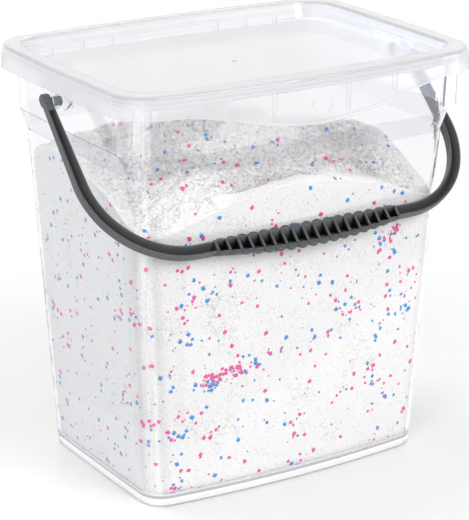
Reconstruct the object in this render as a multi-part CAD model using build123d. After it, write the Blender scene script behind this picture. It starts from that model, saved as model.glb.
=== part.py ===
from build123d import *
import os
from math import acos, atan, atan2, cos, degrees, exp, hypot, radians, sin

# A clear rectangular pail of about eight litres with a press-on lid and a swinging bail handle,
# two thirds full of washing powder.
# Millimetres, +Z up. The origin is the middle of the foot, and the front wall faces -Y.

# Tub: half sizes at the corners of its outer face, and how far each side bows out beyond them
FOOT_HALF_X = 101.1
FOOT_HALF_Y = 66.3
FOOT_CORNER = 15.8
FOOT_BOW_FRONT = 6.8
FOOT_BOW_SIDE = 0.5
BAND_HALF_X = 118.3
BAND_HALF_Y = 80.2
BAND_CORNER = 23.0
BAND_BOW_FRONT = 4.9
BAND_BOW_SIDE = 0.7
TUB_WALL = 1.5
BAND_DEEP = 38.1
SHOULDER_DEEP = 13.5
SHOULDER_STEP = 3.3
RIM_GROWTH = 0.7
FLOOR_Z = 5.0
FLOOR_THICK = 1.6
FLOOR_FILLET = 3.0
FOOT_FILLET = 0.9
FOOT_RING = 2.4

# Collar under the rim: a flange with ribs, and a squared lug at each front corner
FLANGE_DROP = 6.0
FLANGE_THICK = 1.4
FLANGE_REACH = 4.2
RIB_THICK = 1.2
FRONT_RIBS = {26.5: 18.3, 61.5: 11.8}
BACK_RIBS = {40.0: 9.6, 62.0: 9.6, 85.0: 9.6}
LUG_HANGS = 28.6
LUG_THICK = 1.4
LUG_REACH = 7.9
LUG_ANGLE = 51.6
LUG_WIDE = 17.0
LUG_ROUND = 1.2

# Lid: its skirt stands out round the shoulder, and bows out more where the front flap hangs
LID_TOP_Z = 270.0
LAND_THICK = 2.1
LID_OVERHANG = 7.1
LID_CORNER = 24.0
LID_BOW_FRONT = 10.8
LID_BOW_BACK = 4.8
LID_BOW_SIDE = 2.5
LID_WALL = 1.4
LID_EDGE_ROUND = 1.6
LAND_ROUND = 1.4
SKIRT_DEEP = 14.0
SKIRT_FLARE = 1.2
SKIRT_STEP_DEEP = 4.4
SKIRT_STEP = 0.45
SEAT_GAP = 0.3
PLUG_GAP = 0.35
PANEL_DEPTH = 11.4
PANEL_WALL = 1.2
PANEL_SLOPE = 0.36
PANEL_ROUND = 2.0
FLAP_HALF_WIDTH = 90.0
FLAP_DROP = 14.0
FLAP_ROUNDING = 0.36
FLAP_END_SLOPE = 0.12
BEAD_HEIGHT = 2.0
BEAD_STANDS = 0.7
MARK_RADIUS = 7.4
MARK_TOP = 1.5
MARK_DEEP = 15.6
MARK_LINE = 0.9
MARK_STANDS = 0.4
GATE_RADIUS = 1.6
GATE_STANDS = 0.5

# Handle pivots: the pin, the boss it runs in, and the ear that carries the boss
PIN_RADIUS = 3.0
PIN_CLEARANCE = 0.08
BOSS_WALL = 1.62
BOSS_BELOW_SKIRT = 1.2
EAR_RADIUS = 22.0
EAR_HANGS = 5.9
EAR_SHELF_HALF = 17.6
EAR_THICK = 1.8
EAR_SKIRT_GAP = 0.5
EAR_RIBS = {8.0: 14.6, 18.0: 10.4}
HEAD_STANDS = 0.8
HEAD_THICK = 1.6
HEAD_PLAY = 0.4
ARM_SKIRT_GAP = 1.3
ARM_BOSS_GAP = 0.5

# Handle: measured in its own plane, outward from the pivot line
GRIP_PAST_LID = 18.0
REST_GAP = 0.5
ARM_FLARE = 1.1
ARM_WIDE = 5.2
BAR_WIDE = 7.4
ARM_DEEP = 6.2
BAR_DEEP = 7.2
BEND_RADIUS = 56.0
BACK_ROUND = 2.2
LIP = 0.9
LIP_ROUND = 0.35
GROOVE_FLOOR = 2.0
END_RADIUS = 3.6
END_PAST_PIN = 2.0
END_ROUND = 1.2
GROOVE_START = 7.5
GRIP_END_ROOM = 10.0
CELL_PITCH = 7.75
CELL_RIB = 1.8
GRIP_BOW = 3.0
GRIP_HALF_WIDE = 6.1
GRIP_HALF_WIDE_AT_ENDS = 4.1
GRIP_BACK_ROUND = 3.0
CELL_BULGE = 2.3
CELL_BULGE_AT_ENDS = 0.8
CELL_PARTING = 0.1
CELL_THICK = 2.6
CELL_SET_BACK = 0.4
CELL_ROUND = 0.6

# Powder: how it lies in the tub
POWDER_GAP = 0.25
POWDER_BELOW_BAND = 30.5
POWDER_TILT_X = -0.045
POWDER_TILT_Y = 0.02
MOUNDS = (
    (-95.0, 28.0, 40.0, 26.0, 9.0),
    (10.0, 52.0, 60.0, 26.0, 11.0),
    (95.0, 5.0, 40.0, 26.0, 6.0),
    (118.0, -78.0, 50.0, 44.0, -23.0),
    (-112.0, -78.0, 52.0, 34.0, -25.0),
    (0.0, -70.0, 35.0, 25.0, 3.0),
    (30.0, -18.0, 44.0, 15.0, -10.0),
    (-120.0, 75.0, 40.0, 32.0, -10.0),
    (100.0, 85.0, 36.0, 24.0, -7.0),
    (-48.0, -42.0, 30.0, 20.0, 5.0),
)
POWDER_GRID = 15
POWDER_SHEET_PAST = 5.0

# How far a cutting solid reaches past what it cuts: across a wall, and round the whole lid
CUT_PAST = 1.0
CUT_ROOM = 20.0

# Places that follow from the sizes above
RIM_Z = LID_TOP_Z - LAND_THICK - SEAT_GAP
SHOULDER_HIGH_Z = RIM_Z - BAND_DEEP
SHOULDER_LOW_Z = SHOULDER_HIGH_Z - SHOULDER_DEEP
FLANGE_Z = RIM_Z - FLANGE_DROP
LUG_LOW_Z = FLANGE_Z - LUG_HANGS
SKIRT_LOW_Z = LID_TOP_Z - SKIRT_DEEP
FLAP_LOW_Z = SKIRT_LOW_Z - FLAP_DROP
LID_HALF_X = BAND_HALF_X + LID_OVERHANG
LID_HALF_Y = BAND_HALF_Y + LID_OVERHANG
BOSS_RADIUS = PIN_RADIUS + PIN_CLEARANCE + BOSS_WALL
PIVOT_Z = SKIRT_LOW_Z - BOSS_BELOW_SKIRT - BOSS_RADIUS
EAR_LOW_Z = PIVOT_Z - EAR_HANGS
EAR_FACE_X = LID_HALF_X + LID_BOW_SIDE - LID_WALL - EAR_SKIRT_GAP
EAR_INNER_X = EAR_FACE_X - EAR_THICK
ARM_INNER_X = LID_HALF_X + LID_BOW_SIDE + SKIRT_FLARE + ARM_SKIRT_GAP
BOSS_FACE_X = ARM_INNER_X - ARM_BOSS_GAP
ARM_MIDDLE_X = ARM_INNER_X + ARM_WIDE / 2
HANDLE_REACH = LID_HALF_Y + LID_BOW_FRONT + GRIP_PAST_LID
BAR_END_X = ARM_MIDDLE_X + ARM_FLARE - BEND_RADIUS
CELLS = int((2 * (BAR_END_X - GRIP_END_ROOM) - CELL_RIB) / CELL_PITCH)
GRIP_LONG = CELLS * CELL_PITCH + CELL_RIB
POWDER_MEAN_Z = SHOULDER_HIGH_Z - POWDER_BELOW_BAND


def outline(half_x, half_y, corner, bows, z):
    """Level face with round corners, its front, side and back bowed outwards."""
    front, side, back = bows
    ends = [(-half_x, -half_y), (half_x, -half_y), (half_x, half_y), (-half_x, half_y)]
    middles = [(0, -half_y - front), (half_x + side, 0), (0, half_y + back), (-half_x - side, 0)]
    sides = [ThreePointArc(ends[i], middles[i], ends[(i + 1) % 4]) for i in range(4)]
    face = make_face(sides)
    return Pos(0, 0, z) * fillet(face.vertices(), corner)


def blend(low, high, share):
    """Value part of the way from low to high."""
    return low + (high - low) * share


def tub_outline(z, grow=0.0):
    """Outer face of the tub at a height, grown outwards (or inwards, below zero)."""
    share = z / SHOULDER_HIGH_Z
    step = 0.0
    if z < SHOULDER_HIGH_Z:
        step = SHOULDER_STEP
        if z > SHOULDER_LOW_Z:
            step *= (SHOULDER_HIGH_Z - z) / (SHOULDER_HIGH_Z - SHOULDER_LOW_Z)
    share_up = max(0.0, z - SHOULDER_HIGH_Z) / (RIM_Z - SHOULDER_HIGH_Z)
    share = min(share, 1.0)
    half_x = blend(FOOT_HALF_X + SHOULDER_STEP, BAND_HALF_X, share) - step + RIM_GROWTH * share_up
    half_y = blend(FOOT_HALF_Y + SHOULDER_STEP, BAND_HALF_Y, share) - step + RIM_GROWTH * share_up
    corner = blend(FOOT_CORNER + SHOULDER_STEP, BAND_CORNER, share) - step + grow
    bow_front = blend(FOOT_BOW_FRONT, BAND_BOW_FRONT, share)
    bow_side = blend(FOOT_BOW_SIDE, BAND_BOW_SIDE, share)
    return outline(half_x + grow, half_y + grow, corner, (bow_front, bow_side, bow_front), z)


def tub_block(low, high, grow=0.0):
    """Solid between two heights with the tub's outer form, grown or shrunk."""
    heights = [low] + [z for z in (SHOULDER_LOW_Z, SHOULDER_HIGH_Z) if low < z < high] + [high]
    return loft([tub_outline(z, grow) for z in heights], ruled=True)


def lid_outline(z, grow=0.0):
    """Outer face of the lid's skirt at a height."""
    out = grow + SKIRT_FLARE * (LID_TOP_Z - z) / SKIRT_DEEP
    bows = (LID_BOW_FRONT, LID_BOW_SIDE, LID_BOW_BACK)
    return outline(LID_HALF_X + out, LID_HALF_Y + out, LID_CORNER + out, bows, z)


def lid_block(low, high, grow=0.0):
    """Solid between two heights with the skirt's form."""
    return loft([lid_outline(low, grow), lid_outline(high, grow)], ruled=True)


def panel_outline(z, grow=0.0):
    """Plug under the lid at a height: it clears the inside of the rim and narrows downwards."""
    out = RIM_GROWTH - TUB_WALL - PLUG_GAP - PANEL_SLOPE * (RIM_Z - z) + grow
    bows = (BAND_BOW_FRONT, BAND_BOW_SIDE, BAND_BOW_FRONT)
    return outline(BAND_HALF_X + out, BAND_HALF_Y + out, BAND_CORNER + out, bows, z)


def panel_block(low, high, grow=0.0):
    """Solid between two heights with the plug's form."""
    return loft([panel_outline(low, grow), panel_outline(high, grow)], ruled=True)


def fin(x, hangs, side):
    """Upright rib under the flange in the plane of its own X, as far out as the flange reaches."""
    reach = BAND_HALF_Y + BAND_BOW_FRONT + RIM_GROWTH + FLANGE_REACH
    return Pos(x, side * reach / 2, FLANGE_Z - hangs / 2) * Box(RIB_THICK, reach, hangs)


def collar_ribs():
    """Ribs under the flange, front and back, trimmed to its edge and to the wall."""
    ribs = [fin(s * x, hangs, -1) for x, hangs in FRONT_RIBS.items() for s in (-1, 1)]
    ribs += [fin(s * x, hangs, 1) for x, hangs in BACK_RIBS.items() for s in (-1, 1)]
    low = FLANGE_Z - max(FRONT_RIBS.values())
    ring = tub_block(low, FLANGE_Z, FLANGE_REACH) - tub_block(low - CUT_PAST, FLANGE_Z + CUT_PAST, -TUB_WALL / 2)
    return Part() + ribs & ring


def corner_lugs():
    """Hollow square lug round each front corner under the flange, open below."""
    out = BAND_CORNER + LUG_REACH
    edge_x = BAND_HALF_X - BAND_CORNER + out * cos(radians(LUG_ANGLE))
    edge_y = -(BAND_HALF_Y - BAND_CORNER) - out * sin(radians(LUG_ANGLE))
    tall = FLANGE_Z - LUG_LOW_Z
    corner = (Align.MAX, Align.MIN, Align.MIN)
    block = Pos(edge_x, edge_y, LUG_LOW_Z) * Box(LUG_WIDE, BAND_CORNER, tall, align=corner)
    block = fillet(block.edges().filter_by(Axis.Z).sort_by_distance((edge_x, edge_y, LUG_LOW_Z))[0], LUG_ROUND)
    room = Pos(edge_x - LUG_THICK, edge_y + LUG_THICK, LUG_LOW_Z - CUT_PAST) * Box(
        LUG_WIDE - 2 * LUG_THICK, BAND_CORNER, tall + CUT_PAST, align=corner)
    lug = block - room - tub_block(LUG_LOW_Z - CUT_PAST, FLANGE_Z + CUT_PAST, -TUB_WALL / 2)
    return lug + mirror(lug, Plane.YZ)


def rod(x, z, radius, long):
    """Round bar along X that starts at x, on the middle line of the pail's depth."""
    return Pos(x, 0, z) * Rot(0, 90, 0) * Cylinder(radius, long, align=(Align.CENTER, Align.CENTER, Align.MIN))


def ear():
    """Right-hand ear: a round-bottomed plate on ribs, with the boss that takes the handle's pin."""
    disc = rod(EAR_INNER_X, EAR_LOW_Z + EAR_RADIUS, EAR_RADIUS, EAR_THICK)
    top = FLANGE_Z + FLANGE_THICK
    keep = Pos(EAR_FACE_X, 0, top - EAR_RADIUS) * Box(2 * EAR_RADIUS, 2 * EAR_RADIUS, 2 * EAR_RADIUS)
    plate = disc & keep
    wall_x = BAND_HALF_X + BAND_BOW_SIDE - TUB_WALL / 2
    bridge = EAR_INNER_X + EAR_THICK / 2 - wall_x
    plate += Pos(wall_x, 0, FLANGE_Z) * Box(
        bridge, 2 * EAR_SHELF_HALF, FLANGE_THICK, align=(Align.MIN, Align.CENTER, Align.MIN))
    for y, hangs in EAR_RIBS.items():
        rib = Pos(wall_x, y, FLANGE_Z) * Box(bridge, RIB_THICK, hangs, align=(Align.MIN, Align.CENTER, Align.MAX))
        plate += rib + mirror(rib, Plane.XZ)
    long = BOSS_FACE_X - EAR_INNER_X
    hole = rod(EAR_INNER_X - CUT_PAST, PIVOT_Z, PIN_RADIUS + PIN_CLEARANCE, long + 2 * CUT_PAST)
    return plate + rod(EAR_INNER_X, PIVOT_Z, BOSS_RADIUS, long) - hole


def build_tub():
    """Thin-walled tub with a raised floor, a stepped shoulder and the collar under its rim."""
    shell = tub_block(0, RIM_Z)
    shell = fillet(shell.edges().group_by(Axis.Z)[0], FOOT_FILLET)
    cavity = tub_block(FLOOR_Z + FLOOR_THICK, RIM_Z + CUT_PAST, -TUB_WALL)
    cavity = fillet(cavity.edges().group_by(Axis.Z)[0], FLOOR_FILLET)
    under = tub_block(-CUT_PAST, FLOOR_Z, -FOOT_RING)
    flange = tub_block(FLANGE_Z, FLANGE_Z + FLANGE_THICK, FLANGE_REACH) - tub_block(
        FLANGE_Z - CUT_PAST, FLANGE_Z + FLANGE_THICK + CUT_PAST, -TUB_WALL / 2)
    right = ear()
    return shell - cavity - under + flange + collar_ribs() + corner_lugs() + right + mirror(right, Plane.YZ)


def smile(lift):
    """Face in the XZ plane below the skirt's lower edge, raised by a lift."""
    side = LID_HALF_X + CUT_ROOM
    low = FLAP_LOW_Z - CUT_ROOM
    edge_z = SKIRT_LOW_Z + lift
    dip_z = FLAP_LOW_Z + lift
    quarter_z = blend(dip_z, edge_z, FLAP_ROUNDING)
    dip = Spline([(-FLAP_HALF_WIDTH, edge_z), (-FLAP_HALF_WIDTH / 2, quarter_z), (0, dip_z),
                  (FLAP_HALF_WIDTH / 2, quarter_z), (FLAP_HALF_WIDTH, edge_z)],
                 tangents=[(1, -FLAP_END_SLOPE), (1, FLAP_END_SLOPE)])
    line = Polyline([(FLAP_HALF_WIDTH, edge_z), (side, edge_z), (side, low), (-side, low), (-side, edge_z),
                     (-FLAP_HALF_WIDTH, edge_z)])
    return Plane.XZ * make_face([dip, line])


def below_skirt(lift):
    """Solid that takes away what lies under the skirt's lower edge."""
    reach = 2 * (LID_HALF_X + CUT_ROOM)
    tall = FLAP_DROP + CUT_ROOM
    behind_y = -(LID_HALF_Y - LID_CORNER)
    front = extrude(smile(lift), reach) & Pos(0, behind_y, SKIRT_LOW_Z) * Box(
        reach, reach, 4 * tall, align=(Align.CENTER, Align.MAX, Align.CENTER))
    back = Pos(0, behind_y, SKIRT_LOW_Z + lift) * Box(reach, reach, tall, align=(Align.CENTER, Align.MIN, Align.MAX))
    return front + back


def front_mark():
    """Half-round thumb outline on the flap, flat at its top."""
    outer = Circle(MARK_RADIUS) & Pos(0, MARK_TOP) * Rectangle(
        2 * MARK_RADIUS, 2 * MARK_RADIUS, align=(Align.CENTER, Align.MAX))
    inner = Circle(MARK_RADIUS - MARK_LINE) & Pos(0, MARK_TOP - MARK_LINE) * Rectangle(
        2 * MARK_RADIUS, 2 * MARK_RADIUS, align=(Align.CENTER, Align.MAX))
    return Pos(0, 0, LID_TOP_Z - MARK_DEEP) * (Plane.XZ * extrude(outer - inner, 2 * LID_HALF_Y))


def skirt_skin(stands):
    """Layer on the outer half of the skirt's wall that stands out from it."""
    low = FLAP_LOW_Z - CUT_PAST
    high = LID_TOP_Z - SKIRT_STEP_DEEP
    return lid_block(low, high, stands) - lid_block(low - CUT_PAST, high + CUT_PAST, -LID_WALL / 2)


def build_lid():
    """Press-on lid: skirt with a front flap, flat top land and a sunk panel."""
    low = FLAP_LOW_Z - CUT_PAST
    land_z = LID_TOP_Z - LAND_THICK
    step_z = LID_TOP_Z - SKIRT_STEP_DEEP
    panel_z = LID_TOP_Z - PANEL_DEPTH
    top = lid_block(step_z, LID_TOP_Z, -SKIRT_STEP)
    top = fillet(top.edges().group_by(Axis.Z)[-1], LID_EDGE_ROUND)
    outer = lid_block(low, step_z) + top
    plug = panel_block(panel_z - PANEL_WALL, land_z)
    plug = fillet(plug.edges().group_by(Axis.Z)[0], PANEL_ROUND + PANEL_WALL)
    hollow = lid_block(low - CUT_PAST, land_z, -LID_WALL) - plug
    recess = panel_block(panel_z, LID_TOP_Z, -PANEL_WALL)
    recess = fillet(recess.edges().group_by(Axis.Z)[0], PANEL_ROUND)
    lid = outer - hollow - recess
    land_edge = lid.edges().group_by(Axis.Z)[-1].sort_by(SortBy.DISTANCE)[:8]
    lid = fillet(land_edge, LAND_ROUND) - below_skirt(0)
    front_only = Pos(0, -LID_HALF_Y - LID_BOW_FRONT, SKIRT_LOW_Z) * Box(
        2 * FLAP_HALF_WIDTH, LID_CORNER, 4 * FLAP_DROP)
    bead = (skirt_skin(BEAD_STANDS) - below_skirt(0)) & below_skirt(BEAD_HEIGHT) & front_only
    mark = front_mark() & skirt_skin(MARK_STANDS)
    gate = Pos(0, 0, panel_z) * Cylinder(GATE_RADIUS, GATE_STANDS, align=(Align.CENTER, Align.CENTER, Align.MIN))
    return lid + bead + mark + gate


def bar_section(wide, deep, grooved):
    """Section of the handle: round-backed bar with a V groove open to its face."""
    bar = Rectangle(wide, deep)
    bar = fillet(bar.vertices().group_by(Axis.Y)[0], BACK_ROUND)
    if grooved:
        half = wide / 2 - LIP
        bar -= make_face(Polyline([(-half, deep / 2), (0, -deep / 2 + GROOVE_FLOOR), (half, deep / 2)], close=True))
        bar = fillet(bar.vertices().group_by(Axis.Y)[-1], LIP_ROUND)
    return bar


def handle_half():
    """Right-hand arm, bend and bar up to the grip, laid flat with the pivot line on X and the bar toward -Y."""
    bend_y = -(HANDLE_REACH - BEND_RADIUS)
    end_x = ARM_MIDDLE_X + ARM_FLARE
    share = GROOVE_START / -bend_y
    wide = blend(ARM_WIDE, BAR_WIDE, share)
    deep = blend(ARM_DEEP, BAR_DEEP, share)
    first = Plane((ARM_MIDDLE_X, 0, 0), x_dir=(1, 0, 0), z_dir=(0, -1, 0))
    groove = Plane((ARM_MIDDLE_X + ARM_FLARE * share, -GROOVE_START, 0), x_dir=(1, 0, 0), z_dir=(0, -1, 0))
    last = Plane((end_x, bend_y, 0), x_dir=(1, 0, 0), z_dir=(0, -1, 0))
    root = loft([first * bar_section(ARM_WIDE, ARM_DEEP, False), groove * bar_section(wide, deep, False)])
    arm = loft([groove * bar_section(wide, deep, True), last * bar_section(BAR_WIDE, BAR_DEEP, True)])
    bend = revolve(last * bar_section(BAR_WIDE, BAR_DEEP, True), Axis((BAR_END_X, bend_y, 0), (0, 0, 1)), -90)
    grip_end = Plane((GRIP_LONG / 2, -HANDLE_REACH, 0), x_dir=(0, 1, 0), z_dir=(1, 0, 0))
    bar = extrude(grip_end * bar_section(BAR_WIDE, BAR_DEEP, True), BAR_END_X - GRIP_LONG / 2)
    return root + arm + bend + bar


def handle_end():
    """Rounded end of the right arm with its snap pin."""
    tip = rod(ARM_INNER_X, 0, END_RADIUS, ARM_WIDE)
    neck = Pos(ARM_MIDDLE_X, 0, 0) * Box(
        ARM_WIDE, END_PAST_PIN, 2 * END_RADIUS, align=(Align.CENTER, Align.MIN, Align.CENTER))
    end = fillet((tip + neck + Pos(0, END_PAST_PIN, 0) * tip).edges().filter_by(Plane.YZ), END_ROUND)
    head_x = EAR_INNER_X - HEAD_PLAY - HEAD_THICK
    head = rod(head_x, 0, PIN_RADIUS + HEAD_STANDS, HEAD_THICK)
    head = chamfer(head.edges().group_by(Axis.X)[0], HEAD_THICK / 2)
    return end + rod(head_x, 0, PIN_RADIUS, ARM_MIDDLE_X - head_x) + head


def grip_middle_y(x):
    """Middle of the grip's width at a place along it: the grip bows outwards."""
    return -HANDLE_REACH - blend(GRIP_BOW, 0, (2 * x / GRIP_LONG) ** 2)


def grip_half_wide(x):
    """Half width of the barrel-shaped grip at a place along it."""
    return blend(GRIP_HALF_WIDE, GRIP_HALF_WIDE_AT_ENDS, (2 * x / GRIP_LONG) ** 2)


def beads(x):
    """Rounded swelling on both sides of one cell of the grip."""
    half = CELL_PITCH / 2 - CELL_PARTING
    wide = grip_half_wide(x)
    bulge = blend(CELL_BULGE, CELL_BULGE_AT_ENDS, (2 * x / GRIP_LONG) ** 2)
    radius = (half ** 2 + bulge ** 2) / (2 * bulge)
    below = (Align.CENTER, Align.CENTER, Align.MAX)
    disc = Pos(0, wide + bulge - radius, 0) * Cylinder(radius, CELL_THICK, align=below)
    disc = fillet(disc.edges().filter_by(GeomType.CIRCLE).group_by(Axis.Z)[0], CELL_ROUND)
    outer = disc & Box(2 * half, 2 * (wide + bulge), 2 * CELL_THICK, align=(Align.CENTER, Align.MIN, Align.CENTER))
    place = Pos(x, grip_middle_y(x), BAR_DEEP / 2 - CELL_SET_BACK)
    return [place * outer, place * mirror(outer, Plane.XZ)]


def pocket(x):
    """V-bottomed pocket of one cell, open to the face."""
    half = grip_half_wide(x) - LIP
    mouth = BAR_DEEP / 2 + CELL_RIB
    floor = -BAR_DEEP / 2 + GROOVE_FLOOR
    vee = make_face(Polyline([(-half, BAR_DEEP / 2), (0, floor), (half, BAR_DEEP / 2), (half, mouth), (-half, mouth)],
                             close=True))
    across = Plane((x, grip_middle_y(x), 0), x_dir=(0, 1, 0), z_dir=(1, 0, 0))
    return extrude(across * vee, (CELL_PITCH - CELL_RIB) / 2, both=True)


def cell_rib(x):
    """Round-topped rib between two cells."""
    return Pos(x, grip_middle_y(x), BAR_DEEP / 2) * Rot(90, 0, 0) * Cylinder(
        CELL_RIB / 2, 2 * (grip_half_wide(x) - LIP))


def grip_body():
    """Barrel-shaped body of the grip with rounded back edges."""
    end_x = GRIP_LONG / 2
    end_y = GRIP_HALF_WIDE_AT_ENDS
    inner = ThreePointArc((-end_x, end_y), (0, GRIP_HALF_WIDE - GRIP_BOW), (end_x, end_y))
    outer = ThreePointArc((-end_x, -end_y), (0, -GRIP_HALF_WIDE - GRIP_BOW), (end_x, -end_y))
    plan = make_face([inner, Line(inner @ 1, outer @ 1), outer, Line(outer @ 0, inner @ 0)])
    body = Pos(0, -HANDLE_REACH, -BAR_DEEP / 2) * extrude(plan, BAR_DEEP)
    return fillet(body.edges().group_by(Axis.Z)[0].filter_by(GeomType.CIRCLE), GRIP_BACK_ROUND)


def grip():
    """Grip with a rounded bead on both sides of each cell, and pockets between round-topped ribs."""
    cells = [(i - (CELLS - 1) / 2) * CELL_PITCH for i in range(CELLS)]
    walls = [(i - CELLS / 2) * CELL_PITCH for i in range(CELLS + 1)]
    swellings = [part for x in cells for part in beads(x)]
    return grip_body() + swellings + [cell_rib(x) for x in walls] - [pocket(x) for x in cells]


def handle_drop():
    """Degrees below level at which the grip's inner beads come to lie before the front wall."""
    far = HANDLE_REACH + GRIP_BOW - GRIP_HALF_WIDE - CELL_BULGE
    behind = CELL_THICK + CELL_SET_BACK - BAR_DEEP / 2
    reach = hypot(far, behind)
    wall_y = FOOT_HALF_Y + FOOT_BOW_FRONT
    top_y = blend(FOOT_HALF_Y + SHOULDER_STEP, BAND_HALF_Y, SHOULDER_LOW_Z / SHOULDER_HIGH_Z) - SHOULDER_STEP
    top_y += blend(FOOT_BOW_FRONT, BAND_BOW_FRONT, SHOULDER_LOW_Z / SHOULDER_HIGH_Z)
    lean = (top_y - wall_y) / SHOULDER_LOW_Z
    out = REST_GAP + wall_y + lean * PIVOT_Z
    angle = atan(lean) + acos(out / (reach * hypot(1, lean)))
    return degrees(angle - atan2(behind, far))


def build_handle():
    """One-piece bail, swung down to lean in front of the tub."""
    right = handle_half() + handle_end()
    flat = grip() + right + mirror(right, Plane.YZ)
    return Pos(0, 0, PIVOT_Z) * Rot(handle_drop(), 0, 0) * flat


def powder_height(x, y):
    """Height of the heaped powder over a point of the floor."""
    height = POWDER_MEAN_Z + POWDER_TILT_X * x + POWDER_TILT_Y * y
    for middle_x, middle_y, spread_x, spread_y, rise in MOUNDS:
        height += rise * exp(-((x - middle_x) / spread_x) ** 2 - ((y - middle_y) / spread_y) ** 2)
    return height


def build_powder():
    """Powder that fills the tub up to its heaped surface."""
    fill = tub_block(FLOOR_Z + FLOOR_THICK + POWDER_GAP, SHOULDER_HIGH_Z, -TUB_WALL - POWDER_GAP)
    fill = fillet(fill.edges().group_by(Axis.Z)[0], FLOOR_FILLET)
    reach_x = BAND_HALF_X + POWDER_SHEET_PAST
    reach_y = BAND_HALF_Y + BAND_BOW_FRONT + POWDER_SHEET_PAST
    steps = [2 * i / (POWDER_GRID - 1) - 1 for i in range(POWDER_GRID)]
    grid = [[(reach_x * u, reach_y * v) for v in steps] for u in steps]
    points = [[Vector(x, y, powder_height(x, y)) for x, y in row] for row in grid]
    surface = Face.make_surface_from_array_of_points(points)
    above = extrude(surface, 2 * SHOULDER_HIGH_Z, dir=(0, 0, 1))
    return fill - above


def main():
    os.makedirs("parts", exist_ok=True)
    pieces = {"tub": build_tub(), "lid": build_lid(), "handle": build_handle(), "powder": build_powder()}
    for name, shape in pieces.items():
        shape.label = name
        export_step(shape, f"parts/{name}.step")


main()
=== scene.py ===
"""Looks of the washing powder pail: clear tub, milky lid, grey bail, granular powder and a white studio."""
import math

import bpy
import numpy as np
from mathutils import Matrix, Vector
from mathutils.bvhtree import BVHTree

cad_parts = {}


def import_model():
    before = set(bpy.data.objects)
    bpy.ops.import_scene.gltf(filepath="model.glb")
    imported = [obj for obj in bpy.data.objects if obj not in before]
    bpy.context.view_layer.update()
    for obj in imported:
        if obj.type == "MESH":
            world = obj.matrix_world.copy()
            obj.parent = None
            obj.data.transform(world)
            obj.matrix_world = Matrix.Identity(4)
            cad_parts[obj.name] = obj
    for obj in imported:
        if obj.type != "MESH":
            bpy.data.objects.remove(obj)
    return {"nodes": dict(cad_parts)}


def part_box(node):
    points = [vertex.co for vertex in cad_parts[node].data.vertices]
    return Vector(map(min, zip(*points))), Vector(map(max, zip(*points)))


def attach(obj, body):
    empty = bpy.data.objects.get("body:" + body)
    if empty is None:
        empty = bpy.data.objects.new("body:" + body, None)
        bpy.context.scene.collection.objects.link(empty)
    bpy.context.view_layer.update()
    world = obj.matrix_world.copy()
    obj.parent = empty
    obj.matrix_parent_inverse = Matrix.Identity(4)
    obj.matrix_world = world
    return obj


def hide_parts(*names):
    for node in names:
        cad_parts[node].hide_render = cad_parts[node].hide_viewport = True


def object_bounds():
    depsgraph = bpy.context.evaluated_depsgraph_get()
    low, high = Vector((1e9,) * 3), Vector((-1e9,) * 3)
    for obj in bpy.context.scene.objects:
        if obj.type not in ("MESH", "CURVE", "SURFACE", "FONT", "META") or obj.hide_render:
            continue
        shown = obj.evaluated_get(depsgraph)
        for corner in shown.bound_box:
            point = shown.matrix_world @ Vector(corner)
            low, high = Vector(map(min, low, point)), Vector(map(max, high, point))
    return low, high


MM = 0.001
FULL_TURN = 2 * math.pi

# Camera: a pinhole fitted to the photograph's outlines, in degrees, millimetres and pixels
CAMERA_AZIMUTH = -32.08
CAMERA_ELEVATION = 19.02
CAMERA_ROLL = 0.15
CAMERA_DISTANCE = 1437.8
CAMERA_TARGET = (0.70, 0.31, 126.03)
FOCAL_PIXELS = 2220.2
FRAME_LONG_SIDE = 520.0
SENSOR = 36.0

# Studio light: the room's level on the object and as it is seen
ROOM_LEVEL = 0.52
WHITE_LEVEL = 1.0

# Lamps: name, azimuth, elevation, distance and size in metres, watts
LAMPS = (
    ("key", 16.0, 30.0, 1.7, 0.8, 10.5),
    ("back", -150.0, 58.0, 1.6, 0.8, 7.0),
    ("side", -58.0, 24.0, 1.9, 0.7, 7.2),
)
SEEN_LAMP = "key"

# Floor: reach in metres, glow near the foot, share of plain white through plastic, fade to white in metres
FLOOR_REACH = 6.0
FLOOR_WHITE = (0.95, 0.95, 0.95)
FLOOR_GLOW = 0.11
FLOOR_THROUGH_PLASTIC = 0.50
FLOOR_FADE = (0.22, 0.42)

# Powder's skin: steps round it, and rings over the heap and down the wall
TURN_STEPS = 520
HEAP_RINGS = 104
WALL_RINGS = 66

# Relief of the loose powder: size and height of each kind in millimetres
RELIEF = {
    "Hill Size": 46.0, "Hill Height": 26.0,
    "Lump Size": 14.0, "Lump Height": 13.0,
    "Crumb Size": 5.6, "Crumb Height": 7.0,
    "Grain Size": 2.9, "Grain Height": 4.0,
}
RELIEF_DETAIL = (("Hill", 1.0), ("Lump", 2.0), ("Crumb", 1.0), ("Grain", 0.0))

# How the skin follows the solid: millimetres over its floor, inside its rim and above it where looks start
FLOOR_GAP = 0.25
RIM_INSET = 0.4
LOOK_FROM = 20.0
RIM_TRIES = 3
STRAIGHT_HEIGHTS = (60.0, 105.0, 150.0)
RIM_FALL = 14
WALL_CROWDING = 1.25

# Looseness: at the wall, and on the smooth strip in front, which ends at a line to the left
WALL_CONTACT = 0.22
STRIP_LINE = 70.0
STRIP_FADE = 7.0
STRIP_LEFT = -60.0
STRIP_LEAST = 0.12

# Painted shade of the heap, and a band of painted shade in each front corner: width, fade in, unshaded strip
# and fade out
HEAP_PAINTED_SHADE = 0.17
CORNER_PAINTED_SHADE = 0.14
CORNER_BAND = 18.0
BAND_FADE_IN = 3.0
BAND_CLEAR = 4.0
BAND_FADE_OUT = 2.0

# Granules: radius range, thickness against the wall and spacing in millimetres
GRANULE = {"Small": 0.50, "Large": 1.80, "Flat": 0.30, "Spacing": 1.6}
GRANULE_DEPTH = 0.8
GRANULE_THICK = 0.85
DENT_SCALE = 1.6
DENT_DEPTH = 2.2

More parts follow.
